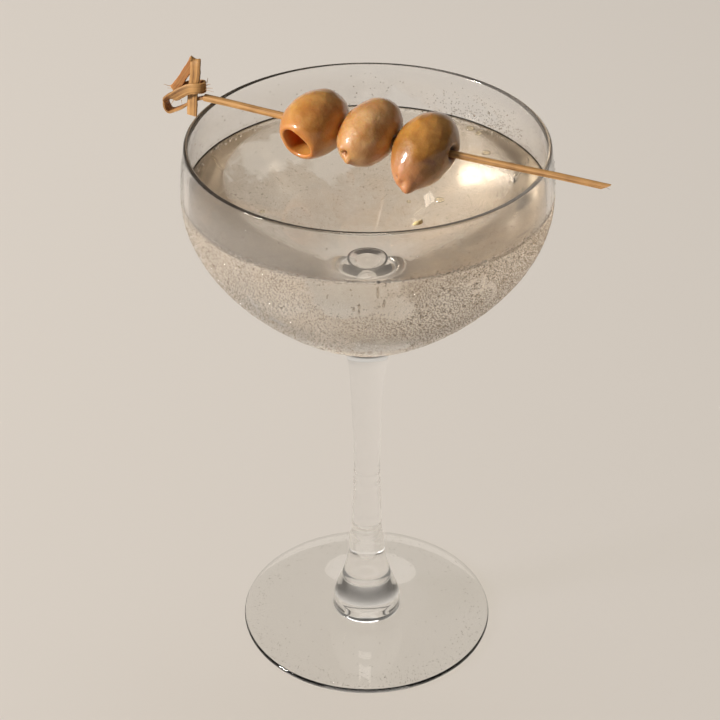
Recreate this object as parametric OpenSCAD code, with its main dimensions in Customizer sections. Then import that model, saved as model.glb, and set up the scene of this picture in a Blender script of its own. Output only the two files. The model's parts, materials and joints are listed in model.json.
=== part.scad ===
// A cocktail in a stemmed saucer glass, with skewered olives laid across the rim.
// Millimetres, +Z up. The origin is the centre of the foot's underside.
// The glass and the drink are turned shapes. The pick lies along its own X axis,
// from the knot towards the cut tip, and the olives are placed in that axis frame.

/* [Glass] */
// Height of the rim above the table
glass_h = 158.2; // [156:0.1:161]
// Outer diameter at the rim
rim_d = 95; // [93:0.5:96]
// Outer diameter at the widest part of the bowl
bowl_d = 97.4; // [97:0.1:99]
// Height of the widest part of the bowl
belly_z = 143.9; // [142:0.1:145]
// Height of the bowl's underside, above the stem
bowl_z = 96.9; // [95:0.1:99]
// Wall thickness at the rim
rim_wall = 1.3; // [1:0.1:1.8]
// Wall thickness at the widest part
belly_wall = 1.4; // [1.2:0.1:2]
// Glass thickness under the middle of the drink
floor_wall = 4.3; // [3:0.1:6]

/* [Stem and foot] */
// Diameter at the slimmest part of the stem
waist_d = 7.5; // [6:0.1:9]
// Height of the slimmest part
waist_z = 52; // [48:1:56]
// Diameter just under the bowl
neck_d = 9.9; // [9:0.1:11]
// Diameter of the bell at the foot of the stem
bell_d = 19.7; // [16:0.1:24]
// Diameter of the foot
foot_d = 73.2; // [68:0.1:80]
// Thickness of the foot at its edge
foot_edge = 1.6; // [1.2:0.1:2.4]
// Thickness of the foot where it meets the bell
foot_rise = 3.9; // [3:0.1:5]

/* [Drink] */
// Level of the drink above the table
drink_level = 145; // [138:0.5:147]

/* [Pick] */
// Diameter of the bamboo shaft
pick_d = 1.9; // [1.6:0.1:2.2]
// Length of the straight shaft
pick_len = 114.7; // [112:0.1:118]
// Where the shaft's knot end stands, across and along the table
pick_start = [-43.4, 23.2];
// Heading of the shaft, from the knot to the tip
pick_turn = -25.84; // [-27:0.1:-24]
// Length of the slanted cut at the tip
tip_cut = 2.6; // [1:0.1:4]
// Width of the shaved strip that is tied into the knot
strip_w = 2.9; // [2.4:0.1:3]
// Thickness of the strip
strip_t = 0.7; // [0.5:0.1:0.8]

/* [Olives] */
// Radius of the pitted olive beside the knot
olive_1_r = 8.3; // [7.8:0.05:8.6]
// Radius of the middle olive
olive_2_r = 7.5; // [7:0.05:7.8]
// Radius of the olive with the pointed end
olive_3_r = 8.1; // [7.6:0.05:8.4]
// Radius of the hole left by the pit
pit_r = 4.1; // [3:0.1:4.4]
// Clear air between pieces that only rest on each other
rest_gap = 0.05; // [0.02:0.01:0.1]

/* [Hidden] */
$fn = 96;

rim_r = rim_d / 2;
bowl_r = bowl_d / 2;
waist_r = waist_d / 2;
neck_r = neck_d / 2;
bell_r = bell_d / 2;
foot_r = foot_d / 2;
pick_r = pick_d / 2;
lip_r = rim_wall / 2;
stem_join_r = 5.5;      // radius where the bowl's underside runs out into the stem
neck_z = 86;            // height where the stem starts to flare into the bowl
knuckle_z = 30;         // middle of the small step above the bell
knuckle_half = 2;       // half the height of that step
knuckle_r = [4.4, 5.15]; // stem radius above and below the step
bell_top_z = 7;         // where the bell's side stands upright
bell_foot_z = 4.5;      // where the bell's side ends, above the crease
pick_z = glass_h + pick_r + rest_gap;

// ---- curves ----

// Point on a cubic curve with control points p
function curve_at(p, t) =
    pow(1 - t, 3) * p[0] + 3 * t * pow(1 - t, 2) * p[1]
    + 3 * t * t * (1 - t) * p[2] + pow(t, 3) * p[3];

// Direction of travel along that curve
function curve_dir(p, t) =
    pow(1 - t, 2) * (p[1] - p[0]) + 2 * t * (1 - t) * (p[2] - p[1])
    + t * t * (p[3] - p[2]);

// Points from step first to step n of a curve cut into n steps
function curve_points(p, n, first = 0) = [for (i = [first:n]) curve_at(p, i / n)];

function unit(v) = v / norm(v);

// The outside of the bowl, from the stem out to its widest part, then up to the lip
lower_curve = [[stem_join_r, bowl_z], [8.2, bowl_z], [bowl_r, belly_z - 25.4], [bowl_r, belly_z]];
upper_curve = [
    [bowl_r, belly_z],
    [bowl_r, belly_z + 9.2],
    [rim_r + (bowl_r - rim_r) * 0.35, glass_h - (glass_h - belly_z) * 0.33],
    [rim_r, glass_h - lip_r]
];

// Wall thickness: heavy under the drink, thin from the belly to the rim
function lower_wall(t) = belly_wall + (floor_wall - belly_wall) * pow(1 - t * t, 3);
function upper_wall(t) = belly_wall + (rim_wall - belly_wall) * t;

// Point on the inside of the wall, opposite the outer curve's point at t
function inside_at(p, t, wall) =
    curve_at(p, t) + wall * unit([-curve_dir(p, t)[1], curve_dir(p, t)[0]]);

lower_steps = 24;
upper_steps = 8;
inner_points = concat(
    [for (i = [upper_steps:-1:1]) inside_at(upper_curve, i / upper_steps, upper_wall(i / upper_steps))],
    [for (i = [lower_steps:-1:0]) inside_at(lower_curve, i / lower_steps, lower_wall(i / lower_steps))]
);
floor_z = bowl_z + floor_wall;

// The foot's edge, a half circle from the underside up to the top face
edge_points = [
    for (a = [-90:22.5:90])
        [foot_r - foot_edge / 2 + foot_edge / 2 * cos(a), foot_edge / 2 + foot_edge / 2 * sin(a)]
];
foot_curve = [
    [foot_r - foot_edge / 2, foot_edge],
    [foot_r * 0.72, foot_edge + 0.2],
    [foot_r * 0.45, foot_rise - 0.5],
    [bell_r + 0.3, foot_rise]
];
bell_curve = [[bell_r - 0.05, bell_top_z], [8.9, 12.5], [knuckle_r[1], 17], [knuckle_r[1], knuckle_z - knuckle_half]];
knuckle_curve = [
    [knuckle_r[1], knuckle_z - knuckle_half],
    [knuckle_r[1], knuckle_z],
    [knuckle_r[0], knuckle_z],
    [knuckle_r[0], knuckle_z + knuckle_half]
];
shin_curve = [[knuckle_r[0], knuckle_z + knuckle_half], [knuckle_r[0], 42], [waist_r, 46], [waist_r, waist_z]];
stem_curve = [[waist_r, waist_z], [waist_r, 64], [4.35, 74], [neck_r, neck_z]];
flare_end = 5;          // step of the bowl's outer curve where the stem's flare meets it
flare_curve = [
    [neck_r, neck_z],
    [neck_r + 0.15, neck_z + 6],
    curve_at(lower_curve, flare_end / lower_steps) - 5 * unit(curve_dir(lower_curve, flare_end / lower_steps)),
    curve_at(lower_curve, flare_end / lower_steps)
];
lip_points = [
    for (a = [22.5:22.5:157.5])
        [rim_r - lip_r + lip_r * cos(a), glass_h - lip_r + lip_r * sin(a)]
];

// ---- glass and drink ----

module glass() {
    color([0.82, 0.86, 0.88, 0.45])
        rotate_extrude()
            polygon(concat(
                [[0, 0]],
                edge_points,
                curve_points(foot_curve, 6, 1),
                [[bell_r, bell_foot_z]],
                curve_points(bell_curve, 10),
                curve_points(knuckle_curve, 4, 1),
                curve_points(shin_curve, 5, 1),
                curve_points(stem_curve, 6, 1),
                curve_points(flare_curve, 8, 1),
                curve_points(lower_curve, lower_steps, flare_end + 1),
                curve_points(upper_curve, upper_steps, 1),
                lip_points,
                inner_points,
                [[0, floor_z]]
            ));
}

module drink() {
    color([0.85, 0.82, 0.76, 0.6])
        difference() {
            rotate_extrude() polygon(concat(inner_points, [[0, floor_z], [0, glass_h]]));
            translate([0, 0, drink_level]) cylinder(r = bowl_r, h = glass_h);
        }
}

// ---- pick ----

module in_pick_frame() {
    translate([pick_start[0], pick_start[1], pick_z]) rotate([0, 0, pick_turn]) children();
}

module shaft(extra = 0) {
    rotate([0, 90, 0]) translate([0, 0, -extra]) cylinder(r = pick_r, h = pick_len + 2 * extra);
}

// The strip's route through the knot. Each row is a point in the pick's frame, then the
// strip's width there as a share of strip_w, then the direction that the width lies in.
// X runs back past the shaft's end, Y is away from the front, and Z is up.
strip_route = [
    [[2.5, 0, 0], 0.5, [0, -1, 0]],
    [[-0.2, 0, -0.1], 0.55, [0, -1, 0]],
    [[-4, 0.5, -1.9], 0.62, [0, -1, 0]],
    [[-6.4, 0.5, -3.9], 0.9, [0, -1, 0]],
    [[-8.9, 0.4, -5.4], 1, [0, -1, 0]],
    [[-11, 0.2, -6.2], 1, [0, -1, 0]],
    [[-12, -0.1, -4.6], 1, [0, -1, 0]],
    [[-11.4, -0.8, -2.5], 1, [0, -1, 0]],
    [[-10, -1.6, -1.4], 1, [-0.3, -0.8, 0.5]],
    [[-8.3, -2.1, -0.5], 1, [-0.4, -0.3, 0.9]],
    [[-6.2, -2.3, 1], 1, [-0.45, 0, 0.9]],
    [[-3.6, -2.3, 2.6], 1, [-0.35, 0, 0.95]],
    [[-1.4, -2.1, 3.2], 1, [-0.1, 0, 1]],
    [[0, -1.2, 3.2], 1, [0, 0, 1]],
    [[0.1, 0.2, 3.1], 1, [0, 0, 1]],
    [[-1, 1.2, 2.9], 1, [0, 0, 1]],
    [[-3.4, 1.4, 2.3], 1, [0, 0, 1]],
    [[-6.4, 1.5, 1.2], 1, [0, 0, 1]],
    [[-8.9, 1.4, 0.2], 1, [-0.2, 0, 1]],
    [[-10, 0.8, -0.1], 1, [-0.47, 0, 0.88]],
    [[-9.3, 0.3, 0.7], 0.92, [-0.7, 0, 0.7]],
    [[-7.6, 0.1, 2.9], 0.82, [-0.83, 0, 0.55]],
    [[-5.6, 0, 6], 0.78, [-0.85, 0, 0.5]],
    [[-3.6, -0.1, 9], 0.8, [-0.9, 0, 0.4]],
    [[-2.5, -0.3, 10.6], 0.9, [-0.95, 0, 0.3]],
    [[-1.8, -0.9, 10.8], 1, [-1, 0, 0.2]],
    [[-1.6, -1.3, 9.7], 1, [-1, 0, 0.1]],
    [[-1.9, -1.2, 7], 1, [-1, 0, 0.1]],
    [[-2.5, -1, 4.2], 1, [-1, 0, 0.1]],
    [[-3.1, -0.95, 0.8], 1, [-1, 0, 0]],
    [[-3.3, -1.1, -2.1], 1, [-1, 0, 0]],
    [[-3.5, -1.2, -5.4], 1, [-1, 0, 0]]
];
rings_per_step = 3;

// Smooth value between a[1] and a[2], given their outer neighbours a[0] and a[3]
function blend_at(a, t) =
    0.5 * (2 * a[1] + (a[2] - a[0]) * t + (2 * a[0] - 5 * a[1] + 4 * a[2] - a[3]) * t * t
    + (3 * a[1] - a[0] - 3 * a[2] + a[3]) * t * t * t);

// Item k of four neighbouring rows around row i, held at the ends of the list
function around(rows, i, k) =
    [for (j = [-1:2]) rows[min(max(i + j, 0), len(rows) - 1)][k]];

strip_rows = concat(
    [
        for (i = [0:len(strip_route) - 2], j = [0:rings_per_step - 1])
            [for (k = [0:2]) blend_at(around(strip_route, i, k), j / rings_per_step)]
    ],
    [strip_route[len(strip_route) - 1]]
);

// The four corners of the strip at row i
function strip_ring(i) =
    let (
        last = len(strip_rows) - 1,
        along = unit(strip_rows[min(i + 1, last)][0] - strip_rows[max(i - 1, 0)][0]),
        lean = strip_rows[i][2],
        across = unit(lean - (lean * along) * along),
        w = across * strip_w * strip_rows[i][1] / 2,
        t = cross(along, across) * strip_t / 2,
        p = strip_rows[i][0]
    )
    [p + w + t, p - w + t, p - w - t, p + w - t];

module knot() {
    n = len(strip_rows);
    corners = [for (i = [0:n - 1]) each strip_ring(i)];
    sides = [
        for (i = [0:n - 2], k = [0:3])
            let (a = 4 * i + k, b = 4 * i + (k + 1) % 4)
                each [[a, b + 4, b], [a, a + 4, b + 4]]
    ];
    last = 4 * (n - 1);
    ends = [[0, 1, 2], [0, 2, 3], [last + 2, last + 1, last], [last + 3, last + 2, last]];
    polyhedron(points = corners, faces = concat(sides, ends), convexity = 8);
}

module pick() {
    color([0.78, 0.62, 0.4])
        in_pick_frame() {
            difference() {
                shaft();
                translate([pick_len - tip_cut, 0, -pick_r])
                    rotate([0, atan(tip_cut / pick_d), 0])
                        translate([0, -pick_d, -pick_d])
                            cube([3 * pick_d, 2 * pick_d, 6 * pick_d]);
            }
            knot();
        }
}

// ---- olives ----

// Each olive's centre in the pick's frame, how far its front end turns from square to
// the pick, and how far that end dips
olive_r = [olive_1_r, olive_2_r, olive_3_r];
olive_at = [[32.7, 0.3, -0.9], [48.8, 0.3, 0.5], [64.5, -0.3, -1]];
olive_turn = [-12, -12, -12.5];
olive_dip = [18, 21, 30.5];
mouth_z = 8.3;          // from the pitted olive's centre to its cut end
pit_floor_z = 2.4;      // from its centre to the bottom of the hole
flesh = [0.74, 0.53, 0.3];

// A turned olive along +Z: half_len from its centre to each end, slimmer to the front by
// egg, and drawn out by tip at the front
module olive_body(r, half_len, egg = 0, tip = 0) {
    steps = 24;
    rotate_extrude()
        polygon([
            for (i = [0:steps])
                let (u = cos(180 * i / steps))
                    [
                        i == 0 || i == steps ? 0 : r * sin(180 * i / steps) * (1 - egg * u - egg * u * u / 2),
                        half_len * u + tip * pow(max(u, 0), 12)
                    ]
        ]);
}

module in_olive_frame(i) {
    in_pick_frame()
        translate(olive_at[i]) rotate([90 + olive_dip[i], 0, olive_turn[i]]) children();
}

// The space beyond the flat where olive i presses on olive j
module beyond(i, j) {
    gap = olive_at[j] - olive_at[i];
    side = 4 * olive_r[i];
    in_pick_frame()
        translate(olive_at[i] + gap * olive_r[i] / (olive_r[i] + olive_r[j]) - unit(gap) * rest_gap / 2)
            rotate([0, acos(unit(gap)[2]), atan2(gap[1], gap[0])])
                translate([-side / 2, -side / 2, 0]) cube(side);
}

module olive_1() {
    color(flesh)
        difference() {
            in_olive_frame(0) olive_body(olive_1_r, 11.1, 0.02);
            in_olive_frame(0) translate([0, 0, mouth_z]) cylinder(r = 2 * olive_1_r, h = olive_1_r);
            in_olive_frame(0) translate([0, 0, pit_floor_z]) cylinder(r = pit_r, h = olive_1_r);
            in_pick_frame() shaft(1);
            beyond(0, 1);
        }
}

module olive_2() {
    color(flesh)
        difference() {
            in_olive_frame(1) olive_body(olive_2_r, 10.6);
            in_olive_frame(1) translate([0, 0, 11.5]) sphere(r = 1.6);
            in_pick_frame() shaft(1);
            beyond(1, 0);
            beyond(1, 2);
        }
}

module olive_3() {
    color(flesh)
        difference() {
            in_olive_frame(2) olive_body(olive_3_r, 11.2, 0.06, 0.7);
            in_pick_frame() shaft(1);
            beyond(2, 1);
        }
}

glass();
drink();
pick();
olive_1();
olive_2();
olive_3();
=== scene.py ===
"""A clear cocktail in a stemmed saucer glass, with olives on a knotted bamboo pick.

Sizes are millimetres in the frame of the model: +Z up, the origin under the middle of the
foot. Meshes are scaled to metres when a piece is finished.
"""

import json
import logging
import math
import random
from dataclasses import dataclass
from enum import Enum
from functools import cached_property
from typing import Callable, Iterable, Sequence

import bmesh
import bpy
import numpy as np
from mathutils import Matrix, Vector, noise

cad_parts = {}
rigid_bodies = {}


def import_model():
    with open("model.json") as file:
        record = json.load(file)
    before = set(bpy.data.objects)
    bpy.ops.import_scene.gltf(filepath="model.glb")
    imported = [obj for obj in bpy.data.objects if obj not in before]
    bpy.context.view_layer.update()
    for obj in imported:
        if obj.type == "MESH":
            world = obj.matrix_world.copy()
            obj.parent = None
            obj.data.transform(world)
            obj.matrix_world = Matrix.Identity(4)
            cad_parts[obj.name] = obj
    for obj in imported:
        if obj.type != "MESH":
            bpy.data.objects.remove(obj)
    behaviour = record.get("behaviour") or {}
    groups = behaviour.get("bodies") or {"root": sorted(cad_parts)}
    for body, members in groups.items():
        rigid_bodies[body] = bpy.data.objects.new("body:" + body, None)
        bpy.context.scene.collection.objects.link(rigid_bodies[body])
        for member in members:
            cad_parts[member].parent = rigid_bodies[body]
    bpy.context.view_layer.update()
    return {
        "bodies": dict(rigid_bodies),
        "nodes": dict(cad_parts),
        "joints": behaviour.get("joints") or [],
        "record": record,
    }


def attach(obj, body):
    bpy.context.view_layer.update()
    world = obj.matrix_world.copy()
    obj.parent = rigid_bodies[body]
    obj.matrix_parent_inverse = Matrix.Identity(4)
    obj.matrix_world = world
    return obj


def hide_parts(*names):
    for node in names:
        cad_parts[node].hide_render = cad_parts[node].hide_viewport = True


log = logging.getLogger("martini_cocktail")

MM = 0.001  # metres in a millimetre

Point = tuple[float, float]
Row = tuple[float, float, float]
Curve = tuple[Point, Point, Point, Point]


class Slot(str, Enum):
    """The record's material slots."""

    GLASS = "glass"
    DRINK = "drink"
    BAMBOO = "bamboo"
    OLIVE = "olive"


# ---- small helpers ----


def srgb(code: str) -> tuple[float, float, float, float]:
    """Turn an sRGB hex colour such as #c19352 into linear red, green, blue and alpha 1."""
    values = [int(code[i : i + 2], 16) / 255 for i in (1, 3, 5)]
    red, green, blue = (v / 12.92 if v <= 0.04045 else ((v + 0.055) / 1.055) ** 2.4 for v in values)
    return red, green, blue, 1.0


def ease(low: float, high: float, value: float) -> float:
    """Rise smoothly from 0 at low to 1 at high, or fall if high is the smaller."""
    t = min(max((value - low) / (high - low), 0.0), 1.0)
    return t * t * (3 - 2 * t)


def on_curve(curve: Curve, t: float) -> Point:
    """The point at t on a cubic curve through four control points."""
    a, b, c, d = (1 - t) ** 3, 3 * t * (1 - t) ** 2, 3 * t * t * (1 - t), t**3
    return (
        a * curve[0][0] + b * curve[1][0] + c * curve[2][0] + d * curve[3][0],
        a * curve[0][1] + b * curve[1][1] + c * curve[2][1] + d * curve[3][1],
    )


def curve_heading(curve: Curve, t: float) -> Point:
    """The unit direction of travel at t on a cubic curve."""
    a, b, c = (1 - t) ** 2, 2 * t * (1 - t), t * t
    x = sum(w * (q[0] - p[0]) for w, p, q in zip((a, b, c), curve, curve[1:]))
    y = sum(w * (q[1] - p[1]) for w, p, q in zip((a, b, c), curve, curve[1:]))
    size = math.hypot(x, y)
    return x / size, y / size


def along_curve(curve: Curve, steps: int, first: int = 0) -> list[Point]:
    """Points from step first to the last of a curve cut into equal steps."""
    return [on_curve(curve, i / steps) for i in range(first, steps + 1)]


def arc(middle: Point, radius: float, degrees: Iterable[int]) -> list[Point]:
    """Points on a circle, at these angles from level."""
    turns = [math.radians(a) for a in degrees]
    return [(middle[0] + radius * math.cos(a), middle[1] + radius * math.sin(a)) for a in turns]


def round_at(r: float, a: float, z: float) -> Vector:
    """The point at a radius, an angle in radians and a height."""
    return Vector((r * math.cos(a), r * math.sin(a), z))


def ball_at(spot: Vector, radius: float) -> Matrix:
    """Where a ball of radius 1 goes, to stand at a spot with another radius."""
    return Matrix.Translation(spot) @ Matrix.Diagonal((radius, radius, radius, 1))


def add_node(
    tree: bpy.types.NodeTree,
    kind: str,
    settings: dict[str, object] | None = None,
    inputs: dict[str | int, object] | None = None,
) -> bpy.types.Node:
    """Add one node to a tree.

    Args:
        tree: The node tree.
        kind: The node's type name, without the ShaderNode in front.
        settings: Attributes to set on the node.
        inputs: Socket name or number to a value, or to what to link from: a socket, or a
            node for its first output.

    Returns:
        The new node.
    """
    node = tree.nodes.new("ShaderNode" + kind)
    for name, value in (settings or {}).items():
        setattr(node, name, value)
    for key, value in (inputs or {}).items():
        if isinstance(value, bpy.types.Node):
            value = value.outputs[0]
        if isinstance(value, bpy.types.NodeSocket):
            tree.links.new(value, node.inputs[key])
        else:
            node.inputs[key].default_value = value
    return node


def set_ramp(node: bpy.types.Node, stops: Sequence[tuple[float, tuple]]) -> None:
    """Give a colour ramp its stops, as positions and linear colours."""
    ramp = node.color_ramp
    while len(ramp.elements) > 1:
        ramp.elements.remove(ramp.elements[-1])
    ramp.elements[0].position, ramp.elements[0].color = stops[0]
    for position, colour in stops[1:]:
        ramp.elements.new(position).color = colour


def blank_material(name: str) -> tuple[bpy.types.Material, bpy.types.NodeTree]:
    """A material with an empty node tree."""
    material = bpy.data.materials.new(name)
    material.use_nodes = True
    material.node_tree.nodes.clear()
    return material, material.node_tree


def see_through_shadow(tree: bpy.types.NodeTree, surface: bpy.types.Node, passed: str) -> None:
    """Finish a clear material so that lamps and bounced light shine through it.

    Args:
        tree: The material's tree.
        surface: The shader that the eye sees.
        passed: The hex colour of light that gets through.
    """
    path = add_node(tree, "LightPath")
    clear = add_node(tree, "BsdfTransparent", inputs={"Color": srgb(passed)})
    for ray in ("Is Shadow Ray", "Is Diffuse Ray"):
        surface = add_node(tree, "MixShader", inputs={0: path.outputs[ray], 1: surface, 2: clear})
    add_node(tree, "OutputMaterial", inputs={"Surface": surface})


def new_object(name: str, data: bpy.types.ID | None) -> bpy.types.Object:
    """An object at the origin, linked to the scene."""
    made = bpy.data.objects.new(name, data)
    bpy.context.scene.collection.objects.link(made)
    return made


def mesh_from(bm: bmesh.types.BMesh, name: str) -> bpy.types.Object:
    """Turn a finished bmesh in millimetres, which is freed, into a smooth piece in metres."""
    bmesh.ops.scale(bm, vec=(MM, MM, MM), verts=bm.verts)
    for face in bm.faces:
        face.smooth = True
    mesh = bpy.data.meshes.new(name)
    bm.to_mesh(mesh)
    bm.free()
    return new_object(name, mesh)


def absorb(whole: bmesh.types.BMesh, part: bmesh.types.BMesh) -> None:
    """Add a part, which is freed, to a larger bmesh."""
    mesh = bpy.data.meshes.new("part")
    part.to_mesh(mesh)
    part.free()
    whole.from_mesh(mesh)
    bpy.data.meshes.remove(mesh)


def spin_profile(profile: Sequence[Point], steps: int) -> bmesh.types.BMesh:
    """Turn a line of radius and height points into a closed round shape.

    Args:
        profile: The line from the axis round to the axis.
        steps: Segments in the full turn.

    Returns:
        The mesh, its seam and poles merged and its faces pointing out.
    """
    bm = bmesh.new()
    line = [bm.verts.new((r, 0, z)) for r, z in profile]
    edges = [bm.edges.new(pair) for pair in zip(line, line[1:])]
    bmesh.ops.spin(
        bm,
        geom=[*line, *edges],
        cent=(0, 0, 0),
        axis=(0, 0, 1),
        angle=math.tau,
        steps=steps,
        use_merge=True,
    )
    bmesh.ops.remove_doubles(bm, verts=bm.verts, dist=1e-4)
    bmesh.ops.dissolve_degenerate(bm, edges=bm.edges, dist=1e-5)
    bmesh.ops.recalc_face_normals(bm, faces=bm.faces)
    return bm


def finish_piece(
    piece: bpy.types.Object,
    materials: Sequence[bpy.types.Material],
    stands_for: Sequence[str] = (),
) -> bpy.types.Object:
    """Dress a piece and tell the frame what it is.

    Args:
        piece: The piece, in place.
        materials: Its materials, in slot order.
        stands_for: The CAD nodes that it replaces.

    Returns:
        The same piece.
    """
    for material in materials:
        piece.data.materials.append(material)
    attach(piece, "root")
    if stands_for:
        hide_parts(*stands_for)
    triangles = sum(len(p.vertices) - 2 for p in piece.data.polygons)
    log.info("%s: %d triangles", piece.name, triangles)
    return piece


# ---- finishes ----


@dataclass(frozen=True)
class FoggedGlassFinish:
    """The outside of chilled glass under a film of breath-fine condensation."""

    # Droplets too small to see one by one scatter light, so the wall looks milky and
    # what is behind it blurs. A wet finger or a run leaves clear glass again.
    clear: str = "#fdfdfd"
    fog: str = "#dccdbb"
    passed: str = "#f7f3ee"
    ior: float = 1.52
    fog_roughness: float = 0.30
    fog_share: float = 0.34
    grain_mm: float = 1.0  # spacing of the finest drops, drawn coarser than life to show
    bump_mm: float = 0.05

    def build(self) -> bpy.types.Material:
        """The material, which reads how much fog there is from the mesh."""
        material, tree = blank_material("chilled_glass_condensation")
        place = add_node(tree, "TexCoord").outputs["Object"]
        fog = add_node(tree, "Attribute", {"attribute_name": "fog"}).outputs["Fac"]
        cells = add_node(
            tree,
            "TexVoronoi",
            {"feature": "F1"},
            {"Vector": place, "Scale": 1 / (self.grain_mm * MM), "Randomness": 1.0},
        )
        drift = add_node(
            tree,
            "TexNoise",
            inputs={"Vector": place, "Scale": 140.0, "Detail": 4.0, "Roughness": 0.6},
        )
        beads = add_node(tree, "Attribute", {"attribute_name": "beads"}).outputs["Fac"]
        between = add_node(
            tree,
            "MapRange",
            {"interpolation_type": "SMOOTHSTEP"},
            {
                "Value": cells.outputs["Distance"],
                "From Min": 0.22,
                "From Max": 0.52,
                "To Min": -1.0,
                "To Max": 0.0,
            },
        )
        beaded = add_node(
            tree,
            "Math",
            {"operation": "MULTIPLY_ADD", "use_clamp": True},
            {0: between, 1: beads, 2: 1.0},
        )
        patchy = add_node(
            tree,
            "MapRange",
            inputs={
                "Value": drift.outputs["Fac"],
                "From Min": 0.32,
                "From Max": 0.68,
                "To Min": 0.72,
                "To Max": 1.12,
            },
        )
        amount = add_node(
            tree, "Math", {"operation": "MULTIPLY", "use_clamp": True}, {0: fog, 1: patchy}
        )
        amount = add_node(tree, "Math", {"operation": "MULTIPLY"}, {0: amount, 1: beaded})
        spread = add_node(tree, "Math", {"operation": "MULTIPLY"}, {0: amount, 1: amount})
        rough = add_node(
            tree, "Math", {"operation": "MULTIPLY"}, {0: spread, 1: self.fog_roughness}
        )
        milky = add_node(
            tree, "Math", {"operation": "MULTIPLY_ADD"}, {0: amount, 1: -self.fog_share, 2: 1.0}
        )
        colour = add_node(
            tree, "Mix", {"data_type": "RGBA"}, {0: amount, 6: srgb(self.clear), 7: srgb(self.fog)}
        )
        domes = add_node(
            tree, "Math", {"operation": "MULTIPLY"}, {0: cells.outputs["Distance"], 1: beads}
        )
        bump = add_node(
            tree,
            "Bump",
            {"invert": True},
            {"Strength": 0.25, "Distance": self.bump_mm * MM, "Height": domes},
        )
        glass = add_node(
            tree,
            "BsdfPrincipled",
            inputs={
                "Base Color": colour.outputs[2],
                "Roughness": rough,
                "IOR": self.ior,
                "Transmission Weight": milky,
                "Normal": bump,
            },
        )
        see_through_shadow(tree, glass, self.passed)
        return material


@dataclass(frozen=True)
class ClearFinish:
    """Something clear right through: clean glass or a thin liquid."""

    # No grain and no haze: the eye reads it from sharp bright lines and from how it
    # bends what lies behind it.
    name: str
    tint: str
    passed: str
    ior: float

    def build(self) -> bpy.types.Material:
        """The material."""
        material, tree = blank_material(self.name)
        clear = add_node(
            tree,
            "BsdfPrincipled",
            inputs={
                "Base Color": srgb(self.tint),
                "Roughness": 0.0,
                "IOR": self.ior,
                "Transmission Weight": 1.0,
            },
        )
        see_through_shadow(tree, clear, self.passed)
        return material


@dataclass(frozen=True)
class BambooFinish:
    """Raw split bamboo, cut with a knife and left unvarnished."""

    # Straight fibre bundles run the whole length: fine light and dark lines, a dull
    # surface, and a darker, more orange face where the strip was split from the cane.
    # On the knot that orange is also painted shade, laid on the strip's shaded face.
    pale: str = "#b58a54"
    dark: str = "#694622"
    split_face_and_shade: str = "#935a28"
    fibre_mm: float = 0.22
    fibre_run_mm: float = 14.0

    def build(self) -> bpy.types.Material:
        """The material, which reads its grain from the mesh's own grain attribute."""
        material, tree = blank_material("raw_split_bamboo")
        grain = add_node(tree, "Attribute", {"attribute_name": "grain"}).outputs["Vector"]
        side = add_node(tree, "Attribute", {"attribute_name": "split"}).outputs["Fac"]
        run = 1 / self.fibre_run_mm
        across = 1 / self.fibre_mm
        stretched = add_node(
            tree, "Mapping", inputs={"Vector": grain, "Scale": (run, across, across)}
        )
        fibres = add_node(
            tree,
            "TexNoise",
            inputs={"Vector": stretched, "Scale": 0.6, "Detail": 3.0, "Roughness": 0.55},
        )
        blotches = add_node(
            tree, "TexNoise", inputs={"Vector": grain, "Scale": 0.16, "Detail": 2.0}
        )
        tone = add_node(
            tree,
            "Math",
            {"operation": "MULTIPLY_ADD", "use_clamp": True},
            {0: blotches.outputs["Fac"], 1: 0.5, 2: fibres.outputs["Fac"]},
        )
        face = add_node(tree, "ValToRGB", inputs={"Fac": tone})
        set_ramp(face, [(0.52, srgb(self.dark)), (0.84, srgb(self.pale))])
        # The orange of the split face, which on the knot is also painted shade
        colour = add_node(
            tree, "Mix", {"data_type": "RGBA"}, {0: side, 6: face, 7: srgb(self.split_face_and_shade)}
        )
        bump = add_node(
            tree,
            "Bump",
            inputs={"Strength": 0.6, "Distance": 0.08 * MM, "Height": fibres.outputs["Fac"]},
        )
        wood = add_node(
            tree,
            "BsdfPrincipled",
            inputs={
                "Base Color": colour.outputs[2],
                "Roughness": 0.62,
                "Subsurface Weight": 0.08,
                "Subsurface Radius": (1.0, 0.5, 0.25),
                "Subsurface Scale": 0.6 * MM,
                "Normal": bump,
            },
        )
        add_node(tree, "OutputMaterial", inputs={"Surface": wood})
        return material


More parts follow.
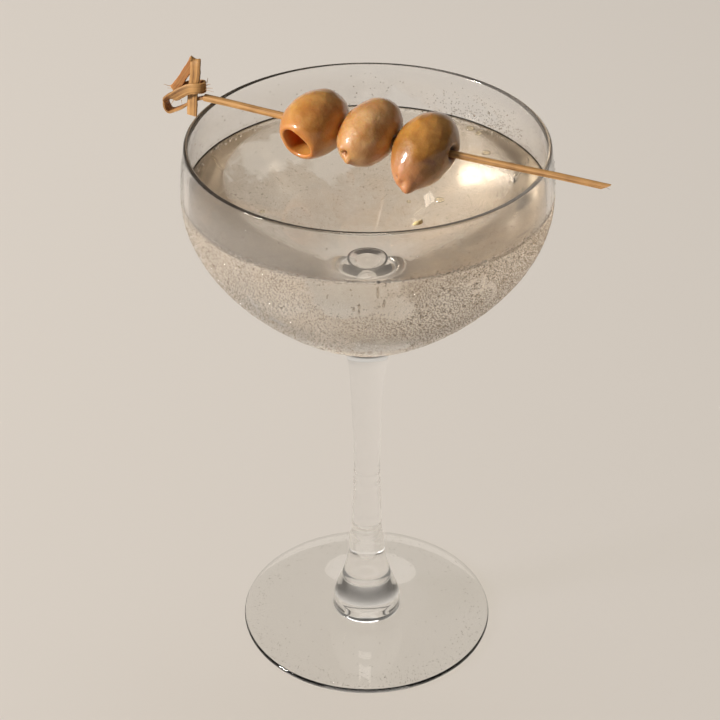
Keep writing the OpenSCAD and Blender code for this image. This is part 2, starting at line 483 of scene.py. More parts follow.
@dataclass(frozen=True)
class OliveFinish:
    """A brined olive, its skin wet and its flesh cured tan."""

    # Light sinks a few millimetres into the flesh and comes back orange, the skin is
    # cloudy with faint darker patches, and brine leaves a tight shine over fine pores.
    name: str
    light: str
    deep: str
    blush: str
    # The colour of the painted shade in the pit, round the pick holes and in some dents
    recess_shade: str
    patch_mm: float = 7.0
    pore_mm: float = 0.55
    roughness: float = 0.42

    def build(self) -> bpy.types.Material:
        """The material, which reads blush and the painted recess shade from the mesh."""
        material, tree = blank_material(self.name)
        place = add_node(tree, "TexCoord").outputs["Object"]
        blush = add_node(tree, "Attribute", {"attribute_name": "blush"}).outputs["Fac"]
        recess_shade = add_node(tree, "Attribute", {"attribute_name": "recess_shade"}).outputs["Fac"]
        clouds = add_node(
            tree,
            "TexNoise",
            inputs={
                "Vector": place,
                "Scale": 1 / (self.patch_mm * MM),
                "Detail": 5.0,
                "Roughness": 0.58,
                "Distortion": 0.4,
            },
        )
        skin = add_node(tree, "ValToRGB", inputs={"Fac": clouds.outputs["Fac"]})
        set_ramp(skin, [(0.3, srgb(self.deep)), (0.68, srgb(self.light))])
        blushed = add_node(
            tree, "Mix", {"data_type": "RGBA"}, {0: blush, 6: skin, 7: srgb(self.blush)}
        )
        flecks = add_node(
            tree,
            "TexVoronoi",
            {"feature": "F1"},
            {"Vector": place, "Scale": 1 / (1.5 * MM), "Randomness": 1.0},
        )
        fleck = add_node(
            tree,
            "MapRange",
            inputs={
                "Value": flecks.outputs["Distance"],
                "From Min": 0.06,
                "From Max": 0.16,
                "To Min": 0.28,
                "To Max": 0.0,
            },
        )
        flecked = add_node(
            tree,
            "Mix",
            {"data_type": "RGBA", "blend_type": "MULTIPLY"},
            {0: fleck, 6: blushed.outputs[2], 7: srgb("#9a6a38")},
        )
        # Painted shade: recesses take the darker recess colour
        colour = add_node(
            tree,
            "Mix",
            {"data_type": "RGBA"},
            {0: recess_shade, 6: flecked.outputs[2], 7: srgb(self.recess_shade)},
        )
        pores = add_node(
            tree,
            "TexNoise",
            inputs={
                "Vector": place, "Scale": 1 / (self.pore_mm * MM), "Detail": 2.0, "Roughness": 0.5
            },
        )
        dents = add_node(
            tree, "TexNoise", inputs={"Vector": place, "Scale": 1 / (2.6 * MM), "Detail": 1.0}
        )
        relief = add_node(
            tree,
            "Math",
            {"operation": "MULTIPLY_ADD"},
            {0: dents.outputs["Fac"], 1: 2.2, 2: pores.outputs["Fac"]},
        )
        bump = add_node(
            tree, "Bump", inputs={"Strength": 0.6, "Distance": 0.16 * MM, "Height": relief}
        )
        shine = add_node(
            tree, "Bump", inputs={"Strength": 0.15, "Distance": 0.16 * MM, "Height": relief}
        )
        wet = add_node(
            tree,
            "MapRange",
            inputs={
                "Value": clouds.outputs["Fac"],
                "From Min": 0.3,
                "From Max": 0.7,
                "To Min": self.roughness - 0.08,
                "To Max": self.roughness + 0.08,
            },
        )
        # The brine's shine is cut back where the painted recess shade lies
        brine = add_node(tree, "Math", {"operation": "MULTIPLY_ADD"}, {0: recess_shade, 1: -0.9, 2: 1.0})
        flesh = add_node(
            tree,
            "BsdfPrincipled",
            inputs={
                "Base Color": colour.outputs[2],
                "Roughness": wet,
                "IOR": 1.45,
                "Subsurface Weight": 0.5,
                "Subsurface Radius": (1.0, 0.36, 0.09),
                "Subsurface Scale": 2.2 * MM,
                "Coat Weight": brine,
                "Coat Roughness": 0.08,
                "Coat IOR": 1.42,
                "Normal": bump,
                "Coat Normal": shine,
            },
        )
        add_node(tree, "OutputMaterial", inputs={"Surface": flesh})
        return material


@dataclass(frozen=True)
class CutEndFinish:
    """The slanted cut at the end of the pick, across the fibres."""

    # A knife cut across bamboo is rough and drinks in light: redder and darker.
    colour: str = "#8a4a28"

    def build(self) -> bpy.types.Material:
        """The material for the cut face."""
        material, tree = blank_material("bamboo_cut_end")
        place = add_node(tree, "TexCoord").outputs["Object"]
        speckle = add_node(
            tree, "TexVoronoi", {"feature": "F1"}, {"Vector": place, "Scale": 1 / (0.3 * MM)}
        )
        tone = add_node(tree, "ValToRGB", inputs={"Fac": speckle.outputs["Distance"]})
        set_ramp(tone, [(0.1, srgb("#5f2f18")), (0.6, srgb(self.colour))])
        end = add_node(tree, "BsdfPrincipled", inputs={"Base Color": tone, "Roughness": 0.8})
        add_node(tree, "OutputMaterial", inputs={"Surface": end})
        return material


@dataclass(frozen=True)
class PaintedHighlightSpeckFinish:
    """A pale speck that floats on the drink: a painted highlight where a glint shows."""

    # Pale and matt, a little see-through at its edges.
    colour: str = "#ffedb8"

    def build(self) -> bpy.types.Material:
        """The material for the speck, a painted highlight."""
        material, tree = blank_material("pale_speck_painted_highlight")
        place = add_node(tree, "TexCoord").outputs["Object"]
        mottle = add_node(
            tree, "TexNoise", inputs={"Vector": place, "Scale": 1 / (0.8 * MM), "Detail": 2.0}
        )
        tone = add_node(tree, "ValToRGB", inputs={"Fac": mottle.outputs["Fac"]})
        set_ramp(tone, [(0.3, srgb("#e0b468")), (0.6, srgb(self.colour))])
        speck_surface = add_node(
            tree,
            "BsdfPrincipled",
            inputs={
                "Base Color": tone,
                "Roughness": 0.5,
                "Subsurface Weight": 0.2,
                "Subsurface Scale": 0.5 * MM,
            },
        )
        add_node(tree, "OutputMaterial", inputs={"Surface": speck_surface})
        return material


# ---- the glass ----


@dataclass
class SaucerGlass:
    """The stemmed saucer glass: foot, bell, stem and bowl in one piece."""

    height: float = 158.2
    rim_r: float = 47.5
    bowl_r: float = 48.7
    belly_z: float = 143.9
    bowl_z: float = 96.9
    rim_wall: float = 1.3
    belly_wall: float = 1.4
    floor_wall: float = 4.3
    waist_r: float = 3.75
    waist_z: float = 52.0
    neck_r: float = 4.95
    neck_z: float = 86.0
    bell_r: float = 9.85
    bell_top_z: float = 7.0
    bell_foot_z: float = 4.5
    knuckle_z: float = 30.0
    knuckle_half: float = 2.0
    over_knuckle_r: float = 4.4
    under_knuckle_r: float = 5.15
    foot_r: float = 36.6
    foot_edge: float = 1.6
    foot_rise: float = 3.9
    stem_join_r: float = 5.5
    flare_t: float = 5 / 24  # where the stem's flare meets the bowl's outer curve
    segments: int = 288
    bowl_steps: int = 84
    upper_steps: int = 22
    level: float = 145.0
    ring_z: float = 49.2
    ring_half: float = 0.9
    ring_rise: float = 0.16

    def lower_curve(self) -> Curve:
        """The bowl's outside from the stem to its widest part."""
        return (
            (self.stem_join_r, self.bowl_z),
            (8.2, self.bowl_z),
            (self.bowl_r, self.belly_z - 25.4),
            (self.bowl_r, self.belly_z),
        )

    def upper_curve(self) -> Curve:
        """The bowl's outside from its widest part to the lip."""
        return (
            (self.bowl_r, self.belly_z),
            (self.bowl_r, self.belly_z + 9.2),
            (
                self.rim_r + (self.bowl_r - self.rim_r) * 0.35,
                self.height - (self.height - self.belly_z) * 0.33,
            ),
            (self.rim_r, self.height - self.rim_wall / 2),
        )

    def wall_at(self, lower: bool, t: float) -> float:
        """The wall's thickness at t on the lower or the upper curve."""
        if lower:
            grown = (self.floor_wall - self.belly_wall) * (1 - t * t) ** 3
            return self.belly_wall + grown
        return self.belly_wall + (self.rim_wall - self.belly_wall) * t

    def inside(self, lower: bool, t: float, sink: float = 0.0) -> Point:
        """The inside of the wall opposite t, moved into the wall by sink."""
        curve = self.lower_curve() if lower else self.upper_curve()
        x, z = on_curve(curve, t)
        dx, dz = curve_heading(curve, t)
        wall = self.wall_at(lower, t) - sink
        return x - dz * wall, z + dx * wall

    def inner_line(self, sink: float = 0.0) -> list[Point]:
        """The inside of the bowl from the lip down to its floor."""
        upper = [
            self.inside(False, i / self.upper_steps, sink) for i in range(self.upper_steps, 0, -1)
        ]
        lower = [self.inside(True, i / 48, sink) for i in range(48, -1, -1)]
        return upper + [p for p in lower if p[0] > 0.4]

    def foot_line(self) -> list[Point]:
        """The top of the foot from its edge in to the bell."""
        curve = (
            (self.foot_r - self.foot_edge / 2, self.foot_edge),
            (self.foot_r * 0.72, self.foot_edge + 0.2),
            (self.foot_r * 0.45, self.foot_rise - 0.5),
            (self.bell_r + 0.3, self.foot_rise),
        )
        return along_curve(curve, 18)

    def outer_line(self) -> list[Point]:
        """The outside from the middle of the foot's underside up to the lip."""
        edge = self.foot_edge / 2
        underside = [(0.0, 0.0), *((self.foot_r * f, 0.0) for f in (0.3, 0.6, 0.85))]
        rim = arc((self.foot_r - edge, edge), edge, range(-90, 91, 15))
        bell = (
            (self.bell_r - 0.05, self.bell_top_z),
            (8.9, 12.5),
            (self.under_knuckle_r, 17.0),
            (self.under_knuckle_r, self.knuckle_z - self.knuckle_half),
        )
        crease = [
            (self.bell_r + 0.06, self.foot_rise + 0.16),
            (self.bell_r - 0.02, self.bell_foot_z),
            (self.bell_r, self.bell_foot_z + 0.6),
            (self.bell_r + 0.02, (self.bell_foot_z + self.bell_top_z) / 2),
        ]
        knuckle = (
            (self.under_knuckle_r, self.knuckle_z - self.knuckle_half),
            (self.under_knuckle_r, self.knuckle_z),
            (self.over_knuckle_r, self.knuckle_z),
            (self.over_knuckle_r, self.knuckle_z + self.knuckle_half),
        )
        shin = (
            (self.over_knuckle_r, self.knuckle_z + self.knuckle_half),
            (self.over_knuckle_r, 42.0),
            (self.waist_r, 46.0),
            (self.waist_r, self.waist_z),
        )
        stem = (
            (self.waist_r, self.waist_z),
            (self.waist_r, 64.0),
            (4.35, 74.0),
            (self.neck_r, self.neck_z),
        )
        lower = self.lower_curve()
        meet = on_curve(lower, self.flare_t)
        heading = curve_heading(lower, self.flare_t)
        flare = (
            (self.neck_r, self.neck_z),
            (self.neck_r + 0.15, self.neck_z + 6),
            (meet[0] - 5 * heading[0], meet[1] - 5 * heading[1]),
            meet,
        )
        stem_line = [
            self.with_mould_ring(p)
            for p in (
                *along_curve(knuckle, 8, 1), *along_curve(shin, 34, 1), *along_curve(stem, 30, 1)
            )
        ]
        bowl = [
            on_curve(lower, self.flare_t + (1 - self.flare_t) * i / self.bowl_steps)
            for i in range(1, self.bowl_steps + 1)
        ]
        return [
            *underside,
            *rim,
            *self.foot_line()[1:],
            *crease,
            *along_curve(bell, 26),
            *stem_line,
            *along_curve(flare, 16, 1),
            *bowl,
            *along_curve(self.upper_curve(), self.upper_steps, 1),
        ]

    def with_mould_ring(self, point: Point) -> Point:
        """A faint raised ring where the two halves of the stem were joined."""
        r, z = point
        return r + self.ring_rise * math.exp(-(((z - self.ring_z) / self.ring_half) ** 2)), z

    def lip(self) -> list[Point]:
        """The fire-polished lip, a half round."""
        lip_r = self.rim_wall / 2
        return arc((self.rim_r - lip_r, self.height - lip_r), lip_r, range(20, 161, 20))

    @cached_property
    def outside(self) -> tuple[tuple[float, ...], tuple[float, ...]]:
        """Radii and heights up the bowl's outside."""
        lower = along_curve(self.lower_curve(), 160)
        return tuple(zip(*lower, *along_curve(self.upper_curve(), 60, 1)))

    def outer_r(self, z: float) -> float:
        """The bowl's outer radius at a height."""
        radii, heights = self.outside
        return float(np.interp(z, heights, radii))

    def build(
        self, fog: "Condensation", materials: Sequence[bpy.types.Material]
    ) -> bpy.types.Object:
        """Make the glass.

        Args:
            fog: Says how much film there is at a place on the bowl.
            materials: Clean glass, then fogged glass.

        Returns:
            The piece.
        """
        profile = [
            *self.outer_line(),
            *self.lip(),
            *self.inner_line(),
            (0.0, self.bowl_z + self.floor_wall),
        ]
        bm = spin_profile(profile, self.segments)
        film = bm.verts.layers.float.new("fog")
        beads = bm.verts.layers.float.new("beads")
        for vert in bm.verts:
            outside = vert.co.z > self.neck_z and self.on_outside(vert.co)
            vert[film] = fog.film_at(vert.co, outside)
            vert[beads] = fog.beads_at(vert.co, outside)
        for face in bm.faces:
            middle = face.calc_center_median()
            fogged = self.on_outside(middle) and middle.z > self.neck_z + 8
            face.material_index = 1 if fogged else 0
        piece = mesh_from(bm, "saucer_glass")
        return finish_piece(piece, materials, ("glass",))

    def on_outside(self, place: Vector) -> bool:
        """Whether a point of the bowl lies on its outer face."""
        if place.z < self.bowl_z - 0.5:
            return True
        r = math.hypot(place.x, place.y)
        return r > self.outer_r(place.z) - 0.35 or place.z < self.bowl_z + 2.2


# ---- condensation ----


@dataclass(frozen=True)
class ClearPatch:
    """A place on the bowl that was wiped or ran clear."""

    turn: float  # degrees round the bowl from +X
    z: float
    half_turn: float  # degrees
    half_height: float
    strength: float = 1.0
    tilt: float = 0.0  # degrees of turn for each millimetre of height


@dataclass
class Condensation:
    """Fine drops and film on the chilled bowl."""

    glass: SaucerGlass
    seed: int = 7
    small_count: int = 9600
    big_count: int = 420
    speck_count: int = 900
    reach: Point = (103.0, 157.0)  # heights between which drops sit

    CLEARED: tuple[ClearPatch, ...] = (
        ClearPatch(-91, 141.2, 13.5, 5.2, 0.95),
        ClearPatch(-99, 137.0, 7, 3.4, 0.8),
        ClearPatch(-83, 136.4, 6, 4.0, 0.9),
        ClearPatch(-84, 118.6, 14, 4.2, 0.9),
        ClearPatch(-104.5, 141.6, 1.6, 3.6, 0.8, -0.9),
        ClearPatch(-129.0, 130.2, 1.1, 4.6, 0.9, -0.25),
        ClearPatch(-122.8, 126.0, 2.6, 1.0, 0.9, -1.6),
        ClearPatch(-110.3, 134.6, 2.4, 0.5, 0.9),
        ClearPatch(128, 128, 17, 7, 0.95),
        ClearPatch(105, 121, 10, 6, 0.9),
        ClearPatch(78, 140, 13, 9, 0.9),
        ClearPatch(55, 147, 12, 5, 0.75),
        ClearPatch(168, 139, 7, 3, 0.7),
        ClearPatch(12, 128, 6, 4, 0.6),
    )
    # Paths of drops that ran, as degrees round the bowl and height
    RUNS: tuple[tuple[Point, ...], ...] = (
        (
            (-54.0, 141.2), (-53.3, 138.4), (-49.8, 136.9),
            (-47.6, 134.6), (-46.9, 131.8), (-48.5, 129.4),
        ),
        ((-53.0, 137.6), (-55.2, 136.8), (-57.0, 137.2)),
        ((-59.8, 140.4), (-57.4, 141.0)),
        ((-107.6, 144.4), (-104.4, 141.7), (-102.6, 139.0)),
        ((24, 141), (25, 134), (24.3, 128)),
        ((152, 140), (151, 131), (151.8, 126)),
        ((-12, 138), (-11.5, 130), (-12.3, 124)),
    )

    def shown_density(self, turn: float, z: float) -> float:
        """How thickly small drops sit at a place, from 0 to 1.

        Args:
            turn: Degrees round the bowl from +X.
            z: Height.

        Returns:
            The share of the thickest cover.
        """
        level = self.glass.level
        below = ease(level + 2.5, level - 1.0, z) * ease(99.0, 108.0, z)
        # Thickest right of the middle at the front, and at the far right edge
        front_right = math.exp(-(((turn + 62) / 20) ** 2 + ((z - 134) / 11) ** 2))
        low_front = math.exp(-(((turn + 76) / 17) ** 2 + ((z - 127) / 6) ** 2))
        right_edge = math.exp(-(((turn + 30) / 16) ** 2 + ((z - 141) / 6) ** 2))
        left = 0.3 * math.exp(-(((turn + 124) / 22) ** 2 + ((z - 136) / 10) ** 2))
        back_right = math.exp(-(((turn - 50) / 13) ** 2 + ((z - 145) / 5) ** 2))
        behind = ease(5.0, 35.0, 90 - abs(abs(turn + 90) - 180))
        base = 0.08 - 0.05 * behind
        share = base + front_right + 0.6 * low_front + 0.8 * right_edge + left
        above = 0.008 * ease(level, level + 3, z) * ease(157.5, 150.0, z)
        high = 0.6 * back_right * ease(156.5, 150.0, z)
        return (min(share, 1.0) * below + above + high) * (1 - self.cleared_at(turn, z, 1.0))

    def cleared_at(self, turn: float, z: float, soft: float) -> float:
        """How clear a place was wiped, from 0 to 1, with ragged edges."""
        spot = Vector((math.cos(math.radians(turn)), math.sin(math.radians(turn)), z / 48))
        ragged = noise.fractal(spot * 9.0, 0.9, 2.1, 3) * 0.55
        worst = 0.0
        for patch in self.CLEARED:
            middle = patch.turn + patch.tilt * (z - patch.z)
            off = (turn - middle + 180) % 360 - 180
            reach = math.hypot(off / patch.half_turn, (z - patch.z) / patch.half_height)
            worst = max(worst, patch.strength * ease(1.18, 0.8, reach + ragged))
        return max(worst, self.run_at(turn, z, soft))

    def run_at(self, turn: float, z: float, soft: float) -> float:
        """How close a place is to the path of a drop that ran, from 0 to 1."""
        scale = math.radians(self.glass.outer_r(z))
        best = 1e9
        for path in self.RUNS:
            for (t0, z0), (t1, z1) in zip(path, path[1:]):
                ax, ay = (t1 - t0) * scale, z1 - z0
                bx, by = (turn - t0) * scale, z - z0
                k = min(max((ax * bx + ay * by) / (ax * ax + ay * ay), 0), 1)
                best = min(best, math.hypot(bx - k * ax, by - k * ay))
        return ease(0.8 + 0.4 * soft, 0.4, best)

    def film_at(self, place: Vector, outside: bool) -> float:
        """The film's strength at a point of the glass, from 0 to 1."""
        if not outside or place.z < self.glass.neck_z:
            return 0.0
        turn = math.degrees(math.atan2(place.y, place.x))
        level = self.glass.level
        cold = ease(96.0, 104.0, place.z)
        above = 1 - 0.62 * ease(level - 0.8, level + 0.8, place.z)
        at_lip = ease(157.6, 149.0, place.z)
        side = 0.82 + 0.18 * math.cos(math.radians(turn + 60))
        # Where the film has drawn together into beads, clear glass shows between them
        left = 1 - 0.72 * min(1.0, self.shown_density(turn, place.z))
        wiped = self.cleared_at(turn, place.z, 0.0)
        return cold * above * at_lip * side * left * (1 - wiped)

    def beads_at(self, place: Vector, outside: bool) -> float:
        """How strongly the film has drawn together into beads, from 0 to 1."""
        if not outside:
            return 0.0
        turn = math.degrees(math.atan2(place.y, place.x))
        return min(1.0, 1.15 * self.shown_density(turn, place.z))

    def scatter(self, count: int, sizes: Callable[[random.Random], float], seed: int) -> list[Row]:
        """Choose places for drops so that none overlap.

        Args:
            count: How many to place.
            sizes: Draws one drop's radius.
            seed: Start of the random draws.

        Returns:
            Rows of degrees round the bowl, height and radius.
        """
        rng = random.Random(seed)
        taken: dict[tuple[int, int], list[Row]] = {}  # drops in each square millimetre
        rows: list[Row] = []
        tries = 0
        while len(rows) < count and tries < count * 40:
            tries += 1
            turn, z = rng.uniform(-180, 180), rng.uniform(*self.reach)
            radius = sizes(rng)
            if rng.random() * self.glass.bowl_r > self.glass.outer_r(z):
                continue
            cover = self.shown_density(turn, z)
            if rng.random() > cover:
                continue
            radius *= 0.72 + 0.28 * min(cover, 1.0)
            x = math.radians(turn) * self.glass.outer_r(z)
            slot = (int(x // 1), int(z // 1))
            near = (
                other
                for i in (-1, 0, 1)
                for j in (-1, 0, 1)
                for other in taken.get((slot[0] + i, slot[1] + j), ())
            )
            if any(
                math.hypot(x - ox, z - oz) < 0.95 * (radius + other_r) for ox, oz, other_r in near
            ):
                continue
            taken.setdefault(slot, []).append((x, z, radius))
            rows.append((turn, z, radius))
        return rows

    def drops(
        self,
        name: str,
        rows: Sequence[Row],
        template: bmesh.types.BMesh,
        material: bpy.types.Material,
    ) -> bpy.types.Object:
        """Set a copy of one drop at each place, sunk a little into the wall."""
        frames = []
        rng = random.Random(self.seed)
        for turn, z, radius in rows:
            low, high = self.glass.outer_r(z - 0.2), self.glass.outer_r(z + 0.2)
            a = math.radians(turn)
            out = Vector((math.cos(a), math.sin(a), -(high - low) / 0.4)).normalized()
            spot = round_at(self.glass.outer_r(z), a, z)
            around = out.to_track_quat("Z", "Y").to_matrix().to_4x4()
            roll = Matrix.Rotation(rng.uniform(0, math.tau), 4, "Z")
            stretch = rng.uniform(0.9, 1.12)
            size = Matrix.Diagonal(
                (radius * stretch, radius / stretch, radius * rng.uniform(0.75, 1.0), 1)
            )
            frames.append(Matrix.Translation(spot) @ around @ roll @ size)
        piece = copies_of(template, frames, name)
        return finish_piece(piece, [material])

    def foot_specks(self, material: bpy.types.Material) -> bpy.types.Object:
        """Make the fine specks of damp on the foot, thickest near its edge."""
        rng = random.Random(self.seed + 5)
        line = self.glass.foot_line()
        radii, heights = [p[0] for p in reversed(line)], [p[1] for p in reversed(line)]
        frames = []
        for i in range(self.speck_count):
            a = rng.uniform(0, math.tau)
            if i % 5 < 3:
                r = rng.gauss(31.2, 1.1)
            else:
                r = 12 + 23.5 * math.sqrt(rng.random())
            if i % 5 == 0:
                a, r = rng.gauss(-math.pi / 2, 0.7), 35.6 - abs(rng.gauss(0, 1.6))
            r = min(max(r, 11.5), 35.5)
            radius = 0.07 + 0.11 * rng.random() ** 2
            z = float(np.interp(r, radii, heights))
            frames.append(ball_at(round_at(r, a, z), radius))
        piece = copies_of(drop_template(1), frames, "foot_specks")
        return finish_piece(piece, [material])

    def build(self, material: bpy.types.Material) -> list[bpy.types.Object]:
        """Make the small and the larger drops."""
        small = self.scatter(self.small_count, lambda rng: rng.uniform(0.18, 0.32), self.seed)
        big = self.scatter(
            self.big_count, lambda rng: 0.28 + 0.26 * rng.random() ** 3, self.seed + 1
        )
        return [
            self.drops("condensation_fine", small, drop_template(1), material),
            self.drops("condensation_drops", big, drop_template(2), material),
            self.foot_specks(material),
        ]


def drop_template(detail: int) -> bmesh.types.BMesh:
    """A drop one unit in radius: a low dome with a shallow underside."""
    bm = bmesh.new()
    bmesh.ops.create_icosphere(bm, subdivisions=detail, radius=1.0)
    for vert in bm.verts:
        vert.co.z *= 0.75 if vert.co.z > 0 else 0.22
    return bm


def copies_of(template: bmesh.types.BMesh, frames: Iterable[Matrix], name: str) -> bpy.types.Object:
    """Join many placed copies of one small shape into a piece.

    Args:
        template: The shape, which is freed.
        frames: Where each copy goes, in millimetres.
        name: The piece's name.

    Returns:
        The piece.
    """
    unit = bpy.data.meshes.new(name + "_unit")
    template.to_mesh(unit)
    template.free()
    corners = np.empty(len(unit.vertices) * 3)
    unit.vertices.foreach_get("co", corners)
    corners = np.c_[corners.reshape(-1, 3), np.ones(len(unit.vertices))]
    faces = np.array([p.vertices[:] for p in unit.polygons])
    placed = [corners @ np.array(frame).T for frame in frames]
    points = np.vstack(placed)[:, :3] * MM
    shifted = [faces + i * len(corners) for i in range(len(placed))]
    mesh = bpy.data.meshes.new(name)
    mesh.from_pydata(points.tolist(), [], np.vstack(shifted).tolist())
    mesh.shade_smooth()
    bpy.data.meshes.remove(unit)
    return new_object(name, mesh)


# ---- the drink ----


@dataclass
class Drink:
    """The clear drink, with bubbles at its edge and oil on its surface."""

    glass: SaucerGlass
    sink: float = 0.3  # how far it reaches into the wall
    meniscus: float = 0.9  # how high it climbs the wall
    meniscus_reach: float = 2.4
    seed: int = 11
    # Middle of each oil ring on the surface, and its radius
    oil_rings: tuple[Row, ...] = (
        (28.4, 34.6, 1.3),
        (30.6, 31.6, 1.0),
        (32.1, 20.3, 1.2),
        (18.6, -5.8, 1.25),
        (10.6, -6.8, 0.6),
        (-6.0, 33.0, 0.8),
        (-27.0, -12.0, 0.7),
    )
    # A drop of oil from its underside round to its top, as share of radius and height
    oil_section: tuple[Point, ...] = (
        (0.0, -0.16), (0.5, -0.18), (0.8, -0.26), (0.96, -0.12), (1.0, 0.06), (0.94, 0.26),
        (0.82, 0.34), (0.68, 0.24), (0.58, 0.08), (0.35, 0.04), (0.0, 0.04),
    )

    def wall_r(self) -> float:
        """The radius of the wall's inside just below the level."""
        return [p for p in self.glass.inner_line() if p[1] < self.glass.level][0][0]

    def surface_z(self, r: float, wall_r: float) -> float:
        """The height of the surface at a radius, with the climb at the wall."""
        rise = math.exp(-max(wall_r - r, 0.0) / (self.meniscus_reach / 3))
        return self.glass.level - self.meniscus + self.meniscus * rise

    def build(self, material: bpy.types.Material) -> bpy.types.Object:
        """Make the body of the drink, which reaches just into the wall."""
        level, wall_r = self.glass.level, self.wall_r()
        inner = [p for p in self.glass.inner_line(self.sink) if p[1] < level - 0.05]
        start, steps = 42.5, 26
        climb = [start + (wall_r - start) * i / steps for i in range(1, steps + 1)]
        radii = (0.0, 8.0, 16.0, 24.0, 32.0, 38.0, 41.0, *climb)
        top = [(r, self.surface_z(r, wall_r)) for r in radii]
        edge = (inner[0][0], level)
        floor = (0.0, self.glass.bowl_z + self.glass.floor_wall - self.sink)
        bm = spin_profile([*top, edge, *inner, floor], 192)
        piece = mesh_from(bm, "drink_body")
        return finish_piece(piece, [material], ("drink",))

    def bubbles(self, material: bpy.types.Material) -> bpy.types.Object:
        """Make the small bubbles that gather at the wall and in a few rafts."""
        rng = random.Random(self.seed)
        wall_r = self.wall_r()
        frames = []
        turns = [rng.uniform(0, 360) for _ in range(150)]
        for centre, count in ((-88, 30), (-116, 30), (-132, 26), (-62, 14), (60, 16), (150, 10)):
            turns += [rng.gauss(centre, 5) for _ in range(count)]
        for turn in turns:
            radius = 0.22 + 0.38 * rng.random() ** 2
            r = wall_r - radius - rng.random() ** 2 * 1.0
            a = math.radians(turn)
            z = self.surface_z(r, wall_r) - radius * 0.15
            frames.append(ball_at(round_at(r, a, z), radius))
        for _ in range(26):
            a, r = rng.uniform(0, math.tau), 40 * math.sqrt(rng.random())
            radius = rng.uniform(0.14, 0.26)
            frames.append(ball_at(round_at(r, a, self.surface_z(r, wall_r)), radius))
        bm = bmesh.new()
        bmesh.ops.create_icosphere(bm, subdivisions=2, radius=1.0)
        piece = copies_of(bm, frames, "edge_bubbles")
        return finish_piece(piece, [material])

    def oil(self, material: bpy.types.Material) -> bpy.types.Object:
        """Make the flat rings of olive oil that float on the surface."""
        whole = bmesh.new()
        z = self.glass.level - self.meniscus
        for x, y, radius in self.oil_rings:
            ring = spin_profile([(radius * f, height) for f, height in self.oil_section], 40)
            bmesh.ops.translate(ring, vec=(x, y, z), verts=ring.verts)
            absorb(whole, ring)
        piece = mesh_from(whole, "oil_rings")
        return finish_piece(piece, [material])

    def floating_speck(self, material: bpy.types.Material) -> bpy.types.Object:
        """Make the pale speck that floats near the front, a painted highlight where a glint shows.
        """
        bm = bmesh.new()
        bmesh.ops.create_icosphere(bm, subdivisions=3, radius=1.0)
        for vert in bm.verts:
            wobble = 1 + 0.35 * noise.noise(vert.co * 1.7)
            vert.co = vert.co * wobble
            vert.co.y += 0.3 * vert.co.x * vert.co.x
        bmesh.ops.scale(bm, vec=(1.6, 0.6, 0.6), verts=bm.verts)
        bmesh.ops.rotate(
            bm, cent=(0, 0, 0), matrix=Matrix.Rotation(math.radians(38), 3, "Z"), verts=bm.verts
        )
        z = self.glass.level - self.meniscus + 0.25
        bmesh.ops.translate(bm, vec=(12.9, -18.0, z), verts=bm.verts)
        piece = mesh_from(bm, "speck_with_painted_highlight")
        return finish_piece(piece, [material])


# ---- the pick ----

RouteRow = tuple[Row, float, Row]


